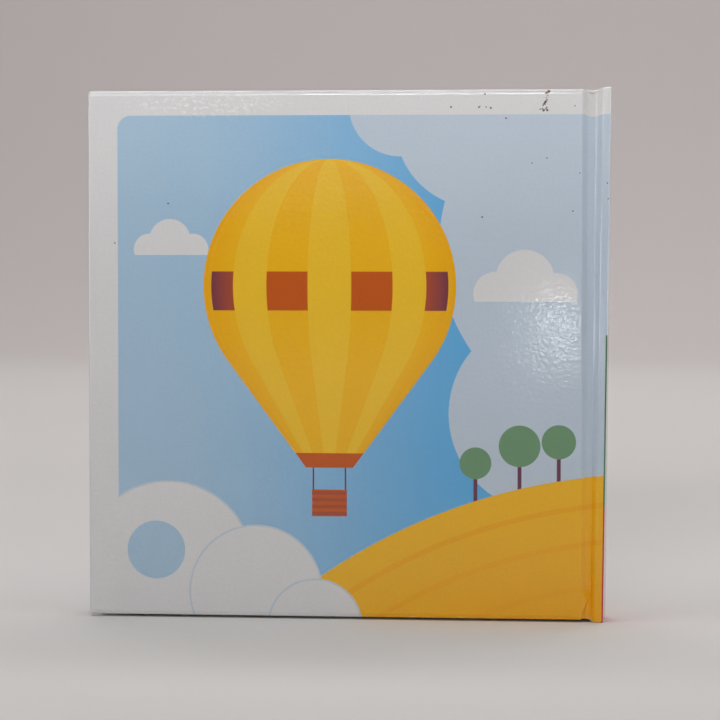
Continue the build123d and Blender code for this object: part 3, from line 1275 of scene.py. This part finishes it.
def sweep():
    """Pale floor that curves up into a backdrop."""
    profile = [(FLOOR_NEAR_Y, 0.0), (SWEEP_START_Y, 0.0)]
    for step in range(1, SWEEP_STEPS + 1):
        angle = math.radians(90.0 * step / SWEEP_STEPS)
        y = SWEEP_START_Y + SWEEP_ROUND * math.sin(angle)
        profile.append((y, SWEEP_ROUND * (1 - math.cos(angle))))
    profile.append((SWEEP_START_Y + SWEEP_ROUND, WALL_TOP_Z))
    corners = [(side * STAGE_HALF, y, z) for y, z in profile for side in (-1, 1)]
    faces = [(2 * k, 2 * k + 1, 2 * k + 3, 2 * k + 2) for k in range(len(profile) - 1)]
    mesh = bpy.data.meshes.new("paper_sweep")
    mesh.from_pydata(corners, [], faces)
    for polygon in mesh.polygons:
        polygon.use_smooth = True
    piece = bpy.data.objects.new("paper_sweep", mesh)
    bpy.context.scene.collection.objects.link(piece)
    material, tree, surface = new_material("sweep_paper")
    place = solid_place(tree)
    _, y, _ = parts_of(place)
    tone = grain(place, SWEEP_MOTTLE, 2.0) * SWEEP_MOTTLE_SHARE + SWEEP_BASE_SHARE
    pale = mix(FLOOR_PALE, BACKDROP_PALE, y.rise(*BACKDROP_FADE))
    plug(tree, shade(pale, tone), surface.inputs["Base Color"])
    surface.inputs["Roughness"].default_value = 0.9
    mesh.materials.append(material)
    return piece


sweep()


def soft_light(name, place, target, size, power, colour=(1.0, 1.0, 1.0), spread=180.0, seen="both"):
    """Box light of this width and height; it can be seen as colour, as gloss or as both."""
    data = bpy.data.lights.new(name, "AREA")
    data.shape = "RECTANGLE"
    data.size, data.size_y = size
    data.energy = power
    data.color = colour
    data.spread = math.radians(spread)
    lamp = bpy.data.objects.new(name, data)
    lamp.location = place
    lamp.rotation_euler = (Vector(target) - Vector(place)).to_track_quat("-Z", "Y").to_euler()
    lamp.visible_diffuse = seen != "gloss"
    lamp.visible_glossy = seen != "colour"
    bpy.context.scene.collection.objects.link(lamp)


BOOK_MIDDLE = (0.0, 0.0, 0.11)
soft_light(
    "gridded_box",
    place=(-0.15, -1.75, 0.80),
    target=(0.0, 0.0, 0.33),
    size=(1.2, 0.14),
    power=0.42,
    spread=21.0,
)
soft_light(
    "head_box",
    place=(0.0, -0.30, 0.90),
    target=(0.0, -0.15, 0.0),
    size=(1.2, 0.5),
    power=2.45,
)
soft_light(
    "ceiling_box",
    place=(0.0, 0.7, 2.4),
    target=(0.0, 0.7, 0.0),
    size=(2.6, 2.4),
    power=16.0,
)
soft_light(
    "front_box",
    place=(-0.45, -2.9, 0.50),
    target=BOOK_MIDDLE,
    size=(1.8, 0.6),
    power=2.6,
)
soft_light(
    "fill_box",
    place=(0.2, -2.6, 0.62),
    target=BOOK_MIDDLE,
    size=(1.4, 0.4),
    power=9.5,
    seen="colour",
)
soft_light(
    "spine_box",
    place=(1.1, 0.05, 0.10),
    target=(0.1, 0.0, 0.10),
    size=(0.25, 0.25),
    power=0.30,
    spread=45.0,
    seen="colour",
)
soft_light(
    "left_glint",
    place=(-1.1, -0.75, 0.50),
    target=BOOK_MIDDLE,
    size=(0.25, 1.0),
    power=12.0,
    seen="gloss",
)
soft_light(
    "low_glint",
    place=(0.045, -1.24, 0.076),
    target=(0.087, -0.01, 0.12),
    size=(0.030, 0.042),
    power=0.038,
    seen="gloss",
)
soft_light(
    "back_box",
    place=(0.0, 1.6, 2.6),
    target=(0.0, 2.6, 0.3),
    size=(3.0, 1.2),
    power=30.0,
    colour=(1.0, 0.955, 0.95),
)

ROOM_TINT = (1.0, 0.99, 0.98, 1.0)
ROOM_STRENGTH = 0.08
world = bpy.data.worlds.new("room")
world.use_nodes = True
room = world.node_tree.nodes["Background"]
room.inputs["Color"].default_value = ROOM_TINT
room.inputs["Strength"].default_value = ROOM_STRENGTH
bpy.context.scene.world = world

# Camera at the photograph's place

CAMERA_PLACE = (0.1298, -1.2305, 0.1634)
CAMERA_YAW = math.radians(5.81)
CAMERA_PITCH = math.radians(2.64)
SENSOR_MM = 36.0
LENS_MM = 150.0
FARTHEST = 50.0
lens = bpy.data.cameras.new("camera")
lens.sensor_width = SENSOR_MM
lens.lens = LENS_MM
lens.clip_end = FARTHEST
camera = bpy.data.objects.new("camera", lens)
camera.location = CAMERA_PLACE
camera.rotation_euler = (math.pi / 2 - CAMERA_PITCH, 0.0, CAMERA_YAW)
bpy.context.scene.collection.objects.link(camera)
bpy.context.scene.camera = camera
bpy.context.scene.view_settings.view_transform = "Standard"
